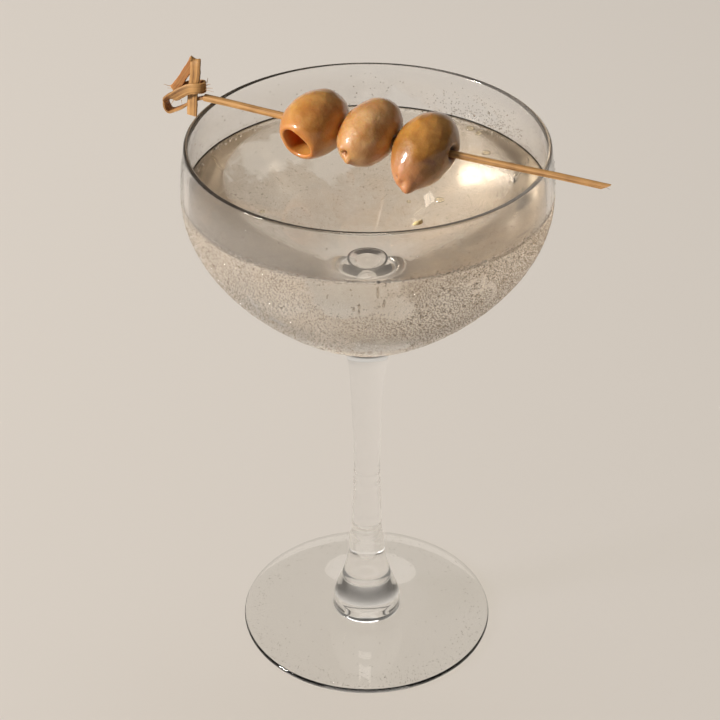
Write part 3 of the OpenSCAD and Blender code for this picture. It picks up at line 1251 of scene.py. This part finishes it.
@dataclass
class BambooPick:
    """The bamboo pick: a split shaft whose thin end is tied into a knot."""

    start: Point = (-43.4, 23.2)
    z: float = 159.2
    turn: float = -25.84
    length: float = 114.7
    tip_cut: float = 2.6
    strip_w: float = 2.9
    strip_t: float = 0.7
    sag: float = 0.55
    sharp_above: float = 38  # degrees between faces from which an edge looks crisp
    route: tuple[RouteRow, ...] = (
        ((2.5, 0, 0), 0.5, (0, -1, 0)),
        ((-0.2, 0, -0.1), 0.55, (0, -1, 0)),
        ((-4, 0.5, -1.9), 0.62, (0, -1, 0)),
        ((-6.4, 0.5, -3.9), 0.9, (0, -1, 0)),
        ((-8.9, 0.4, -5.4), 1, (0, -1, 0)),
        ((-11, 0.2, -6.2), 1, (0, -1, 0)),
        ((-12, -0.1, -4.6), 1, (0, -1, 0)),
        ((-11.4, -0.8, -2.5), 1, (0, -1, 0)),
        ((-10, -1.6, -1.4), 1, (-0.3, -0.8, 0.5)),
        ((-8.3, -2.1, -0.5), 1, (-0.4, -0.3, 0.9)),
        ((-6.2, -2.3, 1), 1, (-0.45, 0, 0.9)),
        ((-3.6, -2.3, 2.6), 1, (-0.35, 0, 0.95)),
        ((-1.4, -2.1, 3.2), 1, (-0.1, 0, 1)),
        ((0, -1.2, 3.2), 1, (0, 0, 1)),
        ((0.1, 0.2, 3.1), 1, (0, 0, 1)),
        ((-1, 1.2, 2.9), 1, (0, 0, 1)),
        ((-3.4, 1.4, 2.3), 1, (0, 0, 1)),
        ((-6.4, 1.5, 1.2), 1, (0, 0, 1)),
        ((-8.9, 1.4, 0.2), 1, (-0.2, 0, 1)),
        ((-10, 0.8, -0.1), 1, (-0.47, 0, 0.88)),
        ((-9.3, 0.3, 0.7), 0.92, (-0.7, 0, 0.7)),
        ((-7.6, 0.1, 2.9), 0.82, (-0.83, 0, 0.55)),
        ((-5.6, 0, 6), 0.78, (-0.85, 0, 0.5)),
        ((-3.6, -0.1, 9), 0.8, (-0.9, 0, 0.4)),
        ((-2.5, -0.3, 10.6), 0.9, (-0.95, 0, 0.3)),
        ((-1.8, -0.9, 10.8), 1, (-1, 0, 0.2)),
        ((-1.6, -1.3, 9.7), 1, (-1, 0, 0.1)),
        ((-1.9, -1.2, 7), 1, (-1, 0, 0.1)),
        ((-2.5, -1, 4.2), 1, (-1, 0, 0.1)),
        ((-3.1, -0.95, 0.8), 1, (-1, 0, 0)),
        ((-3.3, -1.1, -2.1), 1, (-1, 0, 0)),
        ((-3.5, -1.2, -5.4), 1, (-1, 0, 0)),
    )

    def frame(self) -> Matrix:
        """The pick's own frame: X runs from the knot to the tip."""
        place = Matrix.Translation((self.start[0], self.start[1], self.z))
        return place @ Matrix.Rotation(math.radians(self.turn), 4, "Z")

    def shaft_at(self, x: float) -> tuple[float, float, float]:
        """The shaft's sag, width and height at a distance from the knot."""
        sag = -self.sag * math.sin(math.pi * min(max((x - 5) / 95, 0), 1))
        wander = 0.05 * math.sin(x * 0.21) + 0.04 * math.sin(x * 0.47 + 1)
        width = 1.95 - 0.35 * x / self.length + wander
        height = 1.75 - 0.22 * x / self.length - 0.5 * wander
        return sag, width, height

    def shaft(self) -> bmesh.types.BMesh:
        """The split shaft, extruded ring by ring along its length."""
        bm = bmesh.new()
        grain = bm.verts.layers.float_vector.new("grain")
        bm.verts.layers.float.new("split")
        sides, steps = 16, 96
        ring = bmesh.ops.create_circle(bm, cap_ends=True, segments=sides, radius=0.5)["verts"]
        bmesh.ops.rotate(
            bm, cent=(0, 0, 0), matrix=Matrix.Rotation(math.radians(90), 3, "Y"), verts=ring
        )
        for vert in ring:  # squared off, as split wood is
            vert.co.y, vert.co.z = (
                math.copysign(abs(2 * v) ** 0.62 / 2, v) for v in (vert.co.y, vert.co.z)
            )
        shape = [vert.co.copy() for vert in ring]
        edges = [e for e in bm.edges if all(v in ring for v in e.verts)]
        for i in range(steps + 1):
            x = (self.length - 0.15) * i / steps
            if i:
                made = bmesh.ops.extrude_edge_only(bm, edges=edges)["geom"]
                edges = [g for g in made if isinstance(g, bmesh.types.BMEdge)]
                ring = [g for g in made if isinstance(g, bmesh.types.BMVert)]
            sag, width, height = self.shaft_at(x)
            for vert, corner in zip(ring, shape):
                rough = 1 + 0.05 * noise.noise(Vector((x * 0.12, corner.y * 4, corner.z * 4)))
                y, z = corner.y * width * rough, corner.z * height * rough
                vert[grain] = (x, y, z)
                vert.co = (x, y, z + sag)
        bmesh.ops.contextual_create(bm, geom=edges)
        bmesh.ops.recalc_face_normals(bm, faces=bm.faces)
        return bm

    def cut_tip(self, bm: bmesh.types.BMesh) -> None:
        """Cut the far end at a slant, longest at the top."""
        sag, _, height = self.shaft_at(self.length)
        normal = Vector((height, 0, -self.tip_cut)).normalized()
        cut = bmesh.ops.bisect_plane(
            bm,
            geom=[*bm.verts, *bm.edges, *bm.faces],
            plane_co=(self.length - 0.15, 0, sag + height / 2),
            plane_no=normal,
            clear_outer=True,
        )["geom_cut"]
        rim = [g for g in cut if isinstance(g, bmesh.types.BMEdge)]
        for face in bmesh.ops.edgeloop_fill(bm, edges=rim)["faces"]:
            face.material_index = 1

    def strip_rows(self, rings: int) -> list[tuple[Vector, float, Vector]]:
        """The strip's middle line, width share and width direction, made smooth."""
        rows = []
        last = len(self.route) - 1

        def blend(items: Sequence[Vector | float], t: float) -> Vector | float:
            a, b, c, d = items
            return 0.5 * (
                2 * b
                + (c - a) * t
                + (2 * a - 5 * b + 4 * c - d) * t * t
                + (3 * b - a - 3 * c + d) * t * t * t
            )

        for i in range(last):
            near = [self.route[min(max(i + j, 0), last)] for j in (-1, 0, 1, 2)]
            for k in range(rings):
                t = k / rings
                rows.append(
                    (
                        blend([Vector(n[0]) for n in near], t),
                        blend([float(n[1]) for n in near], t),
                        blend([Vector(n[2]) for n in near], t),
                    )
                )
        end = self.route[last]
        rows.append((Vector(end[0]), float(end[1]), Vector(end[2])))
        return rows

    def knot(self) -> bmesh.types.BMesh:
        """The shaved strip, swept through the knot."""
        bm = bmesh.new()
        grain = bm.verts.layers.float_vector.new("grain")
        split = bm.verts.layers.float.new("split")
        per_step = 7
        rows = self.strip_rows(per_step)
        corner = ((-1, -0.72), (-0.9, -1), (-0.45, -1), (0, -1), (0.45, -1), (0.9, -1), (1, -0.72))
        section = [*corner, *((-u, -v) for u, v in corner)]
        travelled = 0.0
        rings = []
        for i, (spot, share, lean) in enumerate(rows):
            ahead, behind = rows[min(i + 1, len(rows) - 1)][0], rows[max(i - 1, 0)][0]
            along = (ahead - behind).normalized()
            across = (lean - lean.dot(along) * along).normalized()
            thick = along.cross(across)
            travelled += (spot - rows[max(i - 1, 0)][0]).length
            ragged = 1 + 0.03 * math.sin(travelled * 1.3) + 0.02 * math.sin(travelled * 3.1)
            ring = []
            for u, v in section:
                w = u * self.strip_w * share * ragged / 2
                t = v * self.strip_t / 2
                vert = bm.verts.new(spot + across * w + thick * t)
                vert[grain] = (travelled + 40, w, t)
                # Painted shade as well as the split face: the orange goes on the strip's shaded
                # face, the other face along the wrap, strongest at the strip's edges
                on_wrap = 8.5 * per_step < i < 19.6 * per_step
                inner = v < -0.8 if on_wrap else v > 0.8
                vert[split] = 0.85 - 0.4 * (1 - abs(u)) if inner else 0.0
                ring.append(vert)
            rings.append([bm.edges.new(pair) for pair in zip(ring, ring[1:] + ring[:1])])
        for low, high in zip(rings, rings[1:]):
            bmesh.ops.bridge_loops(bm, edges=[*low, *high])
        for end in (rings[0], rings[-1]):
            bmesh.ops.edgeloop_fill(bm, edges=end)
        bmesh.ops.recalc_face_normals(bm, faces=bm.faces)
        return bm

    def fibres(self) -> bmesh.types.BMesh:
        """The loose fibres that stand out at the knot and the tip."""
        bm = bmesh.new()
        grain = bm.verts.layers.float_vector.new("grain")
        bm.verts.layers.float.new("split")
        ends = (
            ((0.6, 0.4, 4.2), (1.2, 0.1, 6.0), 0.10),
            ((0.5, 0.2, 3.6), (2.2, -0.4, 4.6), 0.11),
            ((0.7, -0.6, 3.2), (3.0, -0.6, 3.6), 0.10),
            ((0.6, -0.8, 2.8), (3.6, -1.2, 2.9), 0.08),
            ((-10.2, 0.9, 0.6), (-13.0, 0.6, 0.9), 0.12),
            ((-10.0, 0.9, 0.2), (-12.2, 0.9, -0.2), 0.09),
            ((-8.6, -1.6, -1.6), (-9.6, -1.8, -3.4), 0.09),
            ((-6.2, -1.9, -1.2), (-6.0, -1.9, -2.5), 0.09),
            ((112.6, 0.4, -0.2), (114.2, 0.7, -0.9), 0.07),
            ((113.0, -0.3, 0.4), (114.8, -0.5, 0.75), 0.07),
        )
        for i, (foot, tip, radius) in enumerate(ends):
            a, b = Vector(foot), Vector(tip)
            turn = (b - a).to_track_quat("Z", "Y").to_matrix().to_4x4()
            place = Matrix.Translation((a + b) / 2) @ turn
            made = bmesh.ops.create_cone(
                bm,
                cap_ends=True,
                segments=6,
                radius1=radius,
                radius2=radius * 0.35,
                depth=(b - a).length,
                matrix=place,
            )["verts"]
            for vert in made:
                vert[grain] = (vert.co.x, vert.co.y + i, vert.co.z)
        return bm

    def build(self, materials: Sequence[bpy.types.Material]) -> bpy.types.Object:
        """Make the whole pick.

        Args:
            materials: Bamboo, then its cut end.

        Returns:
            The piece.
        """
        shaft = self.shaft()
        self.cut_tip(shaft)
        for part in (self.knot(), self.fibres()):
            absorb(shaft, part)
        bmesh.ops.transform(shaft, matrix=self.frame(), verts=shaft.verts)
        piece = mesh_from(shaft, "bamboo_pick")
        piece.data.set_sharp_from_angle(angle=math.radians(self.sharp_above))
        return finish_piece(piece, materials, ("pick",))


# ---- the olives ----


@dataclass(frozen=True)
class Dent:
    """A small dent or swelling at one place on an olive's skin, which may carry painted shade."""

    toward: Row  # direction from the olive's middle
    radius: float
    depth: float  # below zero for a swelling
    painted_shade: float = 0.0  # how much of the painted recess shade it takes


@dataclass
class Olive:
    """One olive on the pick, its front end along its own +Z."""

    name: str
    node: str
    r: float
    half_len: float
    egg: float
    tip: float
    at: Row  # its middle, in the pick's frame
    turn: float
    dip: float
    pitted: bool = False
    mouth_z: float = 8.3
    pit_r: float = 4.1
    pit_floor_z: float = 2.4
    lump: float = 0.3
    hole_r: float = 1.4  # reach of the dimple where the pick goes in
    hole_depth: float = 0.6
    seed: float = 0.0
    blush_end: float = 0.0  # how strongly the front end takes the blush colour
    press: float = 0.025  # how far it sinks into an olive beside it
    press_edge: float = 0.16  # how softly its skin turns into the pressed flat
    dents: tuple[Dent, ...] = ()

    def frame(self, pick: BambooPick) -> Matrix:
        """The olive's own frame, from its middle with the front end along +Z."""
        return (
            pick.frame()
            @ Matrix.Translation(self.at)
            @ Matrix.Rotation(math.radians(self.turn), 4, "Z")
            @ Matrix.Rotation(math.radians(90 + self.dip), 4, "X")
        )

    def outline(self) -> list[Point]:
        """The line from the back end round to the front end or into the pit."""
        steps = 84
        line = []
        for i in range(steps + 1):
            u = math.cos(math.pi * (1 - i / steps))
            r = self.r * math.sin(math.pi * i / steps)
            r *= 1 - self.egg * u - self.egg * u * u / 2
            z = self.half_len * u + self.tip * max(u, 0.0) ** 12
            line.append((max(r, 0.0), z))
        line[0] = (0.0, line[0][1])
        if not self.pitted:
            line[-1] = (0.0, line[-1][1])
            return line
        body = [p for p in line if p[1] < self.mouth_z - 0.9]
        (r0, z0), (r1, z1) = body[-2:]
        rise = (z1 - z0) / math.hypot(r1 - r0, z1 - z0)
        run = (r1 - r0) / math.hypot(r1 - r0, z1 - z0)
        lip = along_curve(
            (
                (r1, z1),
                (r1 + 1.1 * run, z1 + 1.1 * rise),
                (self.pit_r + 0.1, self.mouth_z + 0.55),
                (self.pit_r, self.mouth_z - 1.1),
            ),
            14,
            1,
        )
        depth = self.mouth_z - 1.1 - self.pit_floor_z
        wall = [
            (
                self.pit_r - 0.12 * math.sin(k / 10 * math.pi) - 0.5 * (k / 10) ** 3,
                self.mouth_z - 1.1 - depth * k / 10,
            )
            for k in range(1, 11)
        ]
        floor = [
            (wall[-1][0] * f, self.pit_floor_z - 0.5 * math.sqrt(1 - f * f))
            for f in (0.93, 0.8, 0.6, 0.35)
        ]
        return [*body, *lip, *wall, *floor, (0.0, self.pit_floor_z - 0.5)]

    def build(
        self, pick: BambooPick, beside: Sequence["Olive"], material: bpy.types.Material
    ) -> bpy.types.Object:
        """Make the olive.

        Args:
            pick: The pick that it sits on.
            beside: The olives that press on it.
            material: Its skin and flesh.

        Returns:
            The piece.
        """
        bm = spin_profile(self.outline(), 128)
        blush = bm.verts.layers.float.new("blush")
        recess_shade = bm.verts.layers.float.new("recess_shade")
        frame = self.frame(pick)
        inverse = frame.inverted()
        shaft = (inverse @ pick.frame()).to_3x3() @ Vector((1, 0, 0))
        shaft_mid = inverse @ (pick.frame() @ Vector((self.at[0], 0, 0)))
        presses = []
        for other in beside:
            gap = Vector(other.at) - Vector(self.at)
            reach = gap.length * self.r / (self.r + other.r) - self.press
            toward = (inverse @ pick.frame()).to_3x3() @ gap.normalized()
            presses.append((toward, reach))
        for vert in bm.verts:
            co = vert.co.copy()
            inside_pit = self.pitted and self.in_pit(co)
            if self.pitted and co.z > 0:
                co = self.uneven_mouth(co)
            out = Vector((co.x, co.y, co.z * 0.55)).normalized()
            lumpy = noise.fractal(co * 0.13 + Vector((self.seed, 0, 0)), 1.0, 2.0, 3)
            dimply = noise.noise(co * 0.5 + Vector((0, self.seed, 0)))
            if not inside_pit:
                co += out * (self.lump * (lumpy - 0.25) + 0.035 * dimply)
            for dent in self.dents:
                away = (co.normalized() - Vector(dent.toward).normalized()).length
                near = away * co.length / dent.radius
                if near < 1.6 and not inside_pit:
                    fall = math.exp(-2.2 * near * near)
                    co -= out * dent.depth * fall
                    # A dent may also take painted shade in the recess colour
                    vert[recess_shade] = max(vert[recess_shade], dent.painted_shade * fall)
            # The flesh dimples where the pick goes in and comes out, and painted shade darkens
            # round each hole
            along = (co - shaft_mid).dot(shaft)
            off = (co - shaft_mid - shaft * along).length
            if not inside_pit:
                pull = math.exp(-((off / self.hole_r) ** 4))
                co -= shaft * math.copysign(self.hole_depth * pull, along)
                painted_shade = math.exp(-((off / (self.hole_r * 1.05)) ** 6))
                vert[recess_shade] = max(vert[recess_shade], painted_shade)
            for toward, reach in presses:
                over = co.dot(toward) - reach
                soft = self.press_edge
                if over > -6 * soft:
                    co -= toward * (over + soft * math.log1p(math.exp(-over / soft)))
            if inside_pit:
                depth = (self.mouth_z - co.z) / (self.mouth_z - self.pit_floor_z)
                # Painted light and shade in the hole: the lower right, where light falls in, keeps
                # the paler skin colour, and the rest takes the painted recess shade, more of it
                # further down
                below = (0.5 * co.x - co.y) / self.pit_r
                vert[recess_shade] = ease(0.02, 0.5, depth) * (1 - ease(0.1, 0.8, below))
            end = ease(self.half_len * 0.35, self.half_len, co.z)
            vert[blush] = 0.0 if inside_pit else self.blush_end * end
            vert.co = co
        bmesh.ops.transform(bm, matrix=frame, verts=bm.verts)
        bmesh.ops.recalc_face_normals(bm, faces=bm.faces)
        piece = mesh_from(bm, self.name)
        return finish_piece(piece, [material], (self.node,))

    def uneven_mouth(self, co: Vector) -> Vector:
        """Move a point near the pit's mouth so that the hole isn't quite round."""
        r, a = math.hypot(co.x, co.y), math.atan2(co.y, co.x)
        near = ease(self.pit_r + 2.4, self.pit_r + 0.4, r)
        near *= ease(self.pit_floor_z - 1, self.mouth_z - 2, co.z)
        swell = 0.06 * math.sin(2 * a + 2.97) + 0.05 * math.sin(3 * a + 2.0)
        grow = 1 + near * (swell - 0.03)
        return Vector((co.x * grow, co.y * grow, co.z))

    def in_pit(self, co: Vector) -> bool:
        """Whether a point lies inside the hole left by the pit."""
        r = math.hypot(co.x, co.y)
        return r < self.pit_r + 0.05 and self.pit_floor_z - 1 < co.z


# ---- the stage ----


@dataclass(frozen=True)
class Lamp:
    """One soft box."""

    name: str
    at: Row  # metres
    look: Row
    size: Point
    watts: float
    colour: str
    mirrored: bool = True  # whether it shows as a highlight

    def build(self) -> None:
        """Hang the lamp and point it."""
        light = bpy.data.lights.new(self.name, "AREA")
        light.shape = "RECTANGLE"
        light.size, light.size_y = self.size
        light.energy = self.watts
        light.color = srgb(self.colour)[:3]
        lamp = new_object(self.name, light)
        lamp.location = self.at
        lamp.visible_glossy = self.mirrored
        aim = Vector(self.look) - Vector(self.at)
        lamp.rotation_euler = aim.to_track_quat("-Z", "Y").to_euler()


@dataclass
class Studio:
    """The pale floor, soft lamps and the camera."""

    floor_colour: str = "#d9d6d2"
    backdrop_colour: str = "#cfcac3"
    camera_at: Row = (-0.002, -0.46007, 0.39686)  # metres
    looks_down: float = 33.658  # degrees below level
    lens: float = 100.09
    lamps: tuple[Lamp, ...] = (
        Lamp("key", (-3.90, -1.20, 1.70), (0, 0, 0.14), (0.90, 0.90), 318.0, "#fff6ec"),
        Lamp("fill", (0.10, 0.60, 1.20), (0, 0, 0.10), (0.9, 0.7), 3.8, "#fffaf5", False),
    )

    def floor(self) -> None:
        """Lay the floor under the foot."""
        bm = bmesh.new()
        bmesh.ops.create_grid(bm, x_segments=2, y_segments=2, size=6000)
        bmesh.ops.translate(bm, vec=(0, 0, -0.05), verts=bm.verts)
        piece = mesh_from(bm, "floor")
        material, tree = blank_material("seamless_paper")
        paper = add_node(
            tree, "BsdfPrincipled", inputs={"Base Color": srgb(self.floor_colour), "Roughness": 0.9}
        )
        # Far from the glass the paper curves up into the lit backdrop
        place = add_node(tree, "TexCoord").outputs["Object"]
        away = add_node(tree, "VectorMath", {"operation": "LENGTH"}, {0: place}).outputs["Value"]
        far = add_node(
            tree,
            "MapRange",
            {"interpolation_type": "SMOOTHSTEP"},
            {"Value": away, "From Min": 0.5, "From Max": 1.2, "To Min": 0.0, "To Max": 1.0},
        )
        path = add_node(tree, "LightPath")
        seen = self.any_of(tree, path, ("Is Camera Ray", "Is Transmission Ray", "Is Glossy Ray"))
        share = add_node(tree, "Math", {"operation": "MULTIPLY"}, {0: far, 1: seen})
        backdrop = add_node(tree, "Emission", inputs={"Color": srgb(self.backdrop_colour)})
        mixed = add_node(tree, "MixShader", inputs={0: share, 1: paper, 2: backdrop})
        add_node(tree, "OutputMaterial", inputs={"Surface": mixed})
        material.cycles.emission_sampling = "NONE"
        piece.data.materials.append(material)

    def any_of(
        self, tree: bpy.types.NodeTree, path: bpy.types.Node, kinds: Sequence[str]
    ) -> bpy.types.Node:
        """One where a ray is of any of these two or more kinds, else zero."""
        total = path.outputs[kinds[0]]
        for kind in kinds[1:]:
            total = add_node(
                tree,
                "Math",
                {"operation": "ADD", "use_clamp": True},
                {0: total, 1: path.outputs[kind]},
            )
        return total

    def world(self) -> None:
        """A dim room behind a lit backdrop, which shows straight on and through glass."""
        world = bpy.data.worlds.new("studio")
        world.use_nodes = True
        bpy.context.scene.world = world
        tree = world.node_tree
        tree.nodes.clear()
        toward = add_node(tree, "TexCoord").outputs["Generated"]
        up = add_node(tree, "SeparateXYZ", inputs={0: toward}).outputs["Z"]
        sky = add_node(tree, "ValToRGB", inputs={"Fac": up})
        set_ramp(
            sky,
            [
                (0.0, srgb("#443f3b")),
                (0.25, srgb("#363330")),
                (0.6, srgb("#575552")),
                (1.0, srgb("#908d87")),
            ],
        )
        low = add_node(
            tree,
            "MapRange",
            inputs={"Value": up, "From Min": 0.08, "From Max": 0.34, "To Min": 1.0, "To Max": 0.0},
        )
        path = add_node(tree, "LightPath")
        seen = add_node(
            tree,
            "Math",
            {"operation": "MULTIPLY_ADD", "use_clamp": True},
            {
                0: low,
                1: self.any_of(tree, path, ("Is Glossy Ray", "Is Transmission Ray")),
                2: path.outputs["Is Camera Ray"],
            },
        )
        shown = add_node(
            tree, "Mix", {"data_type": "RGBA"}, {0: seen, 6: sky, 7: srgb(self.backdrop_colour)}
        )
        glow = add_node(tree, "Background", inputs={"Color": shown.outputs[2], "Strength": 1.0})
        add_node(tree, "OutputWorld", inputs={"Surface": glow})

    def camera(self) -> None:
        """A long lens that looks down across the rim."""
        data = bpy.data.cameras.new("camera")
        data.lens = self.lens
        data.sensor_width = 36.0
        data.clip_start = 0.02
        data.clip_end = 50.0
        camera = new_object("camera", data)
        camera.location = self.camera_at
        camera.rotation_euler = (math.radians(90 - self.looks_down), 0, 0)
        bpy.context.scene.camera = camera

    def build(self) -> None:
        """Set up everything that isn't the object."""
        self.floor()
        self.world()
        for lamp in self.lamps:
            lamp.build()
        self.camera()
        scene = bpy.context.scene
        scene.view_settings.view_transform = "Standard"
        scene.view_settings.look = "None"
        scene.cycles.max_bounces = 16
        scene.cycles.transmission_bounces = 14
        scene.cycles.transparent_max_bounces = 24
        scene.cycles.glossy_bounces = 6
        scene.cycles.caustics_reflective = False
        scene.cycles.caustics_refractive = False
        scene.cycles.sample_clamp_indirect = 6.0


# ---- all together ----


def main() -> None:
    """Build the drink on the fixed frame and report each piece."""
    logging.basicConfig(level=logging.INFO, format="%(name)s %(message)s")
    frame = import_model()

    glass = SaucerGlass()
    fog = Condensation(glass)
    # Fire polishing leaves the stem and the lip without tool marks, bright and sharp
    clean = ClearFinish("soda_lime_glass_fire_polished", "#fdfdfd", "#fcfcfb", 1.52).build()
    glass.build(fog, [clean, FoggedGlassFinish().build()])
    # Drops of water on cold glass look a little dark, as they gather light to a point; their grey
    # tint is painted shade for that
    fog.build(ClearFinish("condensed_water_shade_tint", "#e4ddd4", "#f6f4f0", 1.33).build())

    drink = Drink(glass)
    # Chilled gin or vodka with a little vermouth: almost colourless
    spirit = ClearFinish("clear_spirit", "#f7f3ec", "#f4f0ea", 1.35).build()
    # Oil from the olives: a trace of yellow, and it bends light more than the drink
    oil = ClearFinish("olive_oil", "#fdf8e6", "#f8f4e8", 1.47).build()
    drink.build(spirit)
    drink.bubbles(ClearFinish("bubble_film", "#ffffff", "#f6f4f0", 1.33).build())
    drink.oil(oil)
    drink.floating_speck(PaintedHighlightSpeckFinish().build())

    pick = BambooPick()
    pick.build([BambooFinish().build(), CutEndFinish().build()])
    olives = [
        Olive(
            "pitted_olive", "olive_1", 8.3, 11.1, 0.02, 0, (32.7, 0.3, -0.9), -12, 18,
            pitted=True, seed=3.1, blush_end=0.75,
        ),
        Olive(
            "middle_olive", "olive_2", 7.5, 10.6, 0, 0, (48.8, 0.3, 0.5), -12, 21,
            seed=8.4, dents=(
                Dent((-0.3, 1.8, 10.3), 0.8, 1.3, 1.0),
                Dent((0.3, -0.4, 10.6), 1.7, -0.9),
                Dent((-1.2, 1.5, 10.3), 0.55, 0.6, 0.7),
                Dent((-1.9, 2.6, 9.8), 1.2, -0.45),
            ),
        ),
        Olive(
            "pointed_olive", "olive_3", 8.1, 11.2, 0.06, 0.7, (64.5, -0.3, -1), -12.5, 30.5,
            seed=5.7, blush_end=0.6, hole_r=1.9, hole_depth=1.7, dents=(
                Dent((1.6, -1.0, 10.8), 2.3, -1.5),
                Dent((0.9, 1.2, 10.9), 1.4, 0.5),
                Dent((-0.9, 2.45, 10.6), 0.6, 0.3, 0.5),
                Dent((8.0, -0.1, -1.9), 2.1, 0.4, 1.0),
                Dent((7.9, 1.0, 2.2), 0.8, -0.18),
                Dent((7.6, 2.2, 0.8), 0.5, -0.12),
            ),
        ),
    ]
    # The last colour of each skin is its painted recess shade: deep orange on the pitted olive,
    # dark brown on the others
    skins = [
        OliveFinish("brined_olive_tan", "#c19352", "#a2682a", "#bb6c1e", "#c45c14"),
        OliveFinish("brined_olive_pale", "#c8a272", "#a96f30", "#c08a58", "#6a3212"),
        OliveFinish("brined_olive_blushed", "#b5833c", "#7f4f18", "#c68a64", "#2c1408"),
    ]
    for i, (olive, skin) in enumerate(zip(olives, skins)):
        olive.build(pick, [olives[j] for j in (i - 1, i + 1) if 0 <= j < 3], skin.build())

    Studio().build()


if __name__ == "__main__":
    main()
